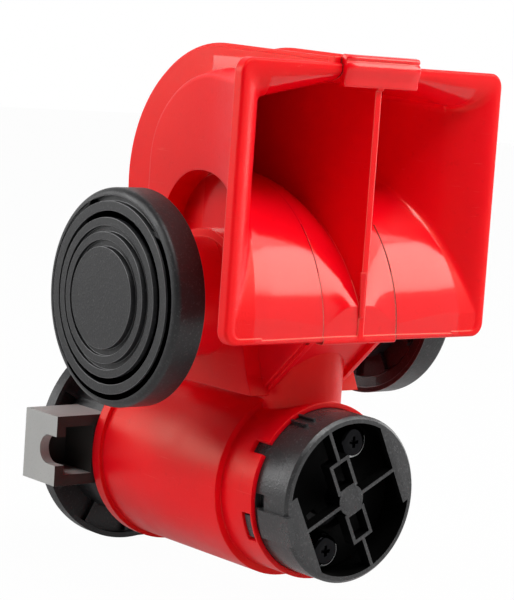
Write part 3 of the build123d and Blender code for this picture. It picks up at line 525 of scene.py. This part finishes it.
def top_roll():
    """The rolled, wavy clip over the centre body's lip."""
    shape = bmesh.new()
    left = (SYMMETRY - ROLL_HALF) * MM
    section = [shape.verts.new((left, (MOUTH + deep) * MM, (MOUTH_MIDDLE + high) * MM))
               for deep, high in ROLL_SECTION]
    drawn = bmesh.ops.extrude_face_region(shape, geom=[shape.faces.new(section)])
    far = [part for part in drawn["geom"] if isinstance(part, bmesh.types.BMVert)]
    move(shape, far, 2 * ROLL_HALF, 0, 0)
    along = [edge for edge in shape.edges if abs(edge.verts[0].co.x - edge.verts[1].co.x) > MM]
    bmesh.ops.subdivide_edges(shape, edges=along, cuts=ROLL_CUTS, use_grid_fill=True)
    round_off(shape, edges_sharper_than(shape, ROLL_RIM), ROLL_EDGE)
    finished(shape, "top_roll", [polished_red], ROLL_SMOOTH)


# The divider's tip, in mm
TIP_SIZE = (2.0, 0.7, 12.0)
TIP_TAPER = 0.6  # width of its foot, as a share of its top's
TIP_LEAN = 0.33  # how far its top leans back
TIP_ACROSS = -0.45  # its middle, from the plane of symmetry
TIP_DEEP = -0.02  # from the mouth's plane
TIP_HIGH = 54.4  # from the motor's axis
TIP_EDGE = 0.12


def divider_tip():
    """The tapered foot in which the divider ends on the hump."""
    shape = bmesh.new()
    bmesh.ops.create_cube(shape, size=1)
    bmesh.ops.scale(shape, verts=shape.verts, vec=tuple(side * MM for side in TIP_SIZE))
    for corner in shape.verts:
        if corner.co.z < 0:
            corner.co.x *= TIP_TAPER
        elif corner.co.y < 0:
            corner.co.y += TIP_LEAN * MM
    move(shape, shape.verts, SYMMETRY + TIP_ACROSS, MOUTH + TIP_DEEP, TIP_HIGH)
    round_off(shape, list(shape.edges), TIP_EDGE)
    finished(shape, "divider_tip", [red_plastic])


# Every rounded edge of the covers, the cap, the rear cover and the bracket is painted paler as a
# highlight
for side in ("left", "right"):
    rounded_edges(side + "_capsule_cover", side + "_cover", black_plastic, 0.2,
                  edge_highlight=black_edge_highlight)
# Faces deep in the cap are painted dark as shade
rounded_edges("air_cap", "front_cap", cap_plastic, 0.2, edge_highlight=black_edge_highlight,
              painted_light=painted_shade_plastic, inner=painted_shade_in_the_cap)
# The lower right of each screw head's rim is painted pale metal as a highlight
rounded_edges("pan_head_screws", "pump_screws", black_steel, 0.15,
              painted_light=painted_highlight_steel, inner=painted_highlight_rim)
rounded_edges("dished_rear_cover", "rear_cover", black_plastic, 0.2, edge_highlight=black_edge_highlight)
# Faces in the bracket's pocket and bolt slot are painted dark as shade
rounded_edges("slotted_bracket", "mounting_bracket", grey_plastic, 0.25, edge_highlight=grey_edge_highlight,
              painted_light=painted_shade_grey, inner=painted_shade_in_the_bracket)
top_roll()
divider_tip()

# ---------------------------------------------------------------- stage
# Places and sizes in metres, power in watts
AIM = Vector((0.039, -0.05, 0.05))  # near the middle of the horn; every lamp faces it
LAMP_DISTANCE = 0.9
# Bearing from +Y towards +X and height above level, both in degrees, then size and power
SOFT_BOXES = {
    "front_right_box": (124, 31, (0.50, 0.38), 3.4),
    "front_right_rim": (124, 50, (0.50, 0.20), 0.8),
    "over_front_box": (180, 62, (0.60, 0.40), 6.6),
    "left_box": (-72, 36, (0.40, 0.30), 2.9),
    "left_back_box": (-45, 16, (0.50, 0.40), 3.0),
    "right_box": (95, 8, (0.50, 0.40), 2.7),
    "low_front_box": (137, 4, (0.50, 0.45), 0.55),
}
FLOOR_SIZE = 6
FLOOR_MIDDLE = (0, 0.5)
FLOOR_GAP = 0.0005  # between the horn and the floor
FLOOR_GLOW = 0.98  # how white the floor is to the eye
FLOOR_MIRRORED = 0.4  # how much of that the horn mirrors
WALL_BEHIND = (0.64, 0.765, 0.09)  # the way to the wall behind the horn
WALL_LEFT = (-0.77, 0.63, 0.09)  # the way to the wall to its left
ROOM_LIGHT = 0.035  # strength of the room as a light


def soft_box(name, bearing, height, size, power):
    """A soft box that points at the horn."""
    bearing, height = radians(bearing), radians(height)
    outward = Vector((sin(bearing) * cos(height), cos(bearing) * cos(height), sin(height)))
    lamp = bpy.data.lights.new(name, "AREA")
    lamp.shape = "RECTANGLE"
    lamp.size, lamp.size_y = size
    lamp.energy = power
    holder = bpy.data.objects.new(name, lamp)
    bpy.context.scene.collection.objects.link(holder)
    turn = (-outward).to_track_quat("-Z", "Y").to_matrix().to_4x4()
    holder.matrix_world = Matrix.Translation(AIM + outward * LAMP_DISTANCE) @ turn


def seen_directly(tree, glossy):
    """1 for camera and transmission rays, and the given share for mirror rays."""
    rays = tree.nodes.new("ShaderNodeLightPath").outputs
    return greatest(tree, rays["Is Camera Ray"], rays["Is Transmission Ray"],
                    product(tree, rays["Is Glossy Ray"], glossy))


def pale_floor():
    """A pale floor that glows to the eye and still takes the horn's shadow."""
    x, y = FLOOR_MIDDLE
    bpy.ops.mesh.primitive_plane_add(size=FLOOR_SIZE, location=(x, y, cad_low[2] - FLOOR_GAP))
    floor = bpy.context.object
    floor.name = "floor"
    material = bpy.data.materials.new("pale_floor")
    tree = nodes_of(material)
    paint = tree.nodes["Principled BSDF"]
    feed_sockets(tree, paint, Base_Color=(0.65, 0.65, 0.65, 1), Roughness=0.9, Specular_IOR_Level=0.0)
    glow = tree.nodes.new("ShaderNodeEmission")
    glow.inputs["Strength"].default_value = 1.0
    mix = tree.nodes.new("ShaderNodeMixShader")
    share = product(tree, seen_directly(tree, FLOOR_MIRRORED), FLOOR_GLOW)
    for socket, value in zip(mix.inputs, (share, paint.outputs[0], glow.outputs[0])):
        tree.links.new(value, socket)
    tree.links.new(mix.outputs[0], tree.nodes["Material Output"].inputs["Surface"])
    floor.data.materials.append(material)


def pale_room():
    """A room that is white to the eye, bright on two walls to mirrors, and dim as a light."""
    world = bpy.data.worlds.new("pale_room")
    tree = nodes_of(world)
    outward = tree.nodes.new("ShaderNodeTexCoord").outputs["Generated"]
    behind = vector_maths(tree, "DOT_PRODUCT", outward, WALL_BEHIND)
    left = vector_maths(tree, "DOT_PRODUCT", outward, WALL_LEFT)
    walls = greatest(tree, span(tree, behind, 0.40, 0.78, 0.10, 1.0),
                     span(tree, left, 0.50, 0.90, 0.10, 0.70))
    strength = greatest(tree, seen_directly(tree, walls), ROOM_LIGHT)
    feed_sockets(tree, tree.nodes["Background"], Color=(1, 1, 1, 1), Strength=strength)
    bpy.context.scene.world = world


# The camera: a long lens in front of the horn, to its left and a little above
CAMERA_PLACE = (-0.3330, -0.4909, 0.1141)  # metres
AZIMUTH = 39.58  # degrees from +Y towards +X, the way it looks
DOWNWARD = 6.52  # degrees below level
ROLL = 4.0  # degrees about its own axis
FOCAL_LENGTH = 2116  # in pixels of a render of the next height
RENDER_HEIGHT = 600  # pixels
SENSOR_HEIGHT = 36  # mm


def long_lens_camera():
    """Puts the camera in its place."""
    azimuth, downward, roll = radians(AZIMUTH), radians(DOWNWARD), radians(ROLL)
    ahead = Vector((sin(azimuth) * cos(downward), cos(azimuth) * cos(downward), -sin(downward)))
    right = Vector((cos(azimuth), -sin(azimuth), 0))
    above = right.cross(ahead)
    across = cos(roll) * right + sin(roll) * above
    upward = cos(roll) * above - sin(roll) * right
    lens = bpy.data.cameras.new("camera")
    lens.sensor_fit = "VERTICAL"
    lens.sensor_height = SENSOR_HEIGHT
    lens.lens = FOCAL_LENGTH * SENSOR_HEIGHT / RENDER_HEIGHT
    camera = bpy.data.objects.new("camera", lens)
    bpy.context.scene.collection.objects.link(camera)
    turn = Matrix((across, upward, -ahead)).transposed().to_4x4()
    camera.matrix_world = Matrix.Translation(CAMERA_PLACE) @ turn
    bpy.context.scene.camera = camera


pale_floor()
pale_room()
for name, (bearing, height, size, power) in SOFT_BOXES.items():
    soft_box(name, bearing, height, size, power)
long_lens_camera()
bpy.context.scene.view_settings.view_transform = "Standard"
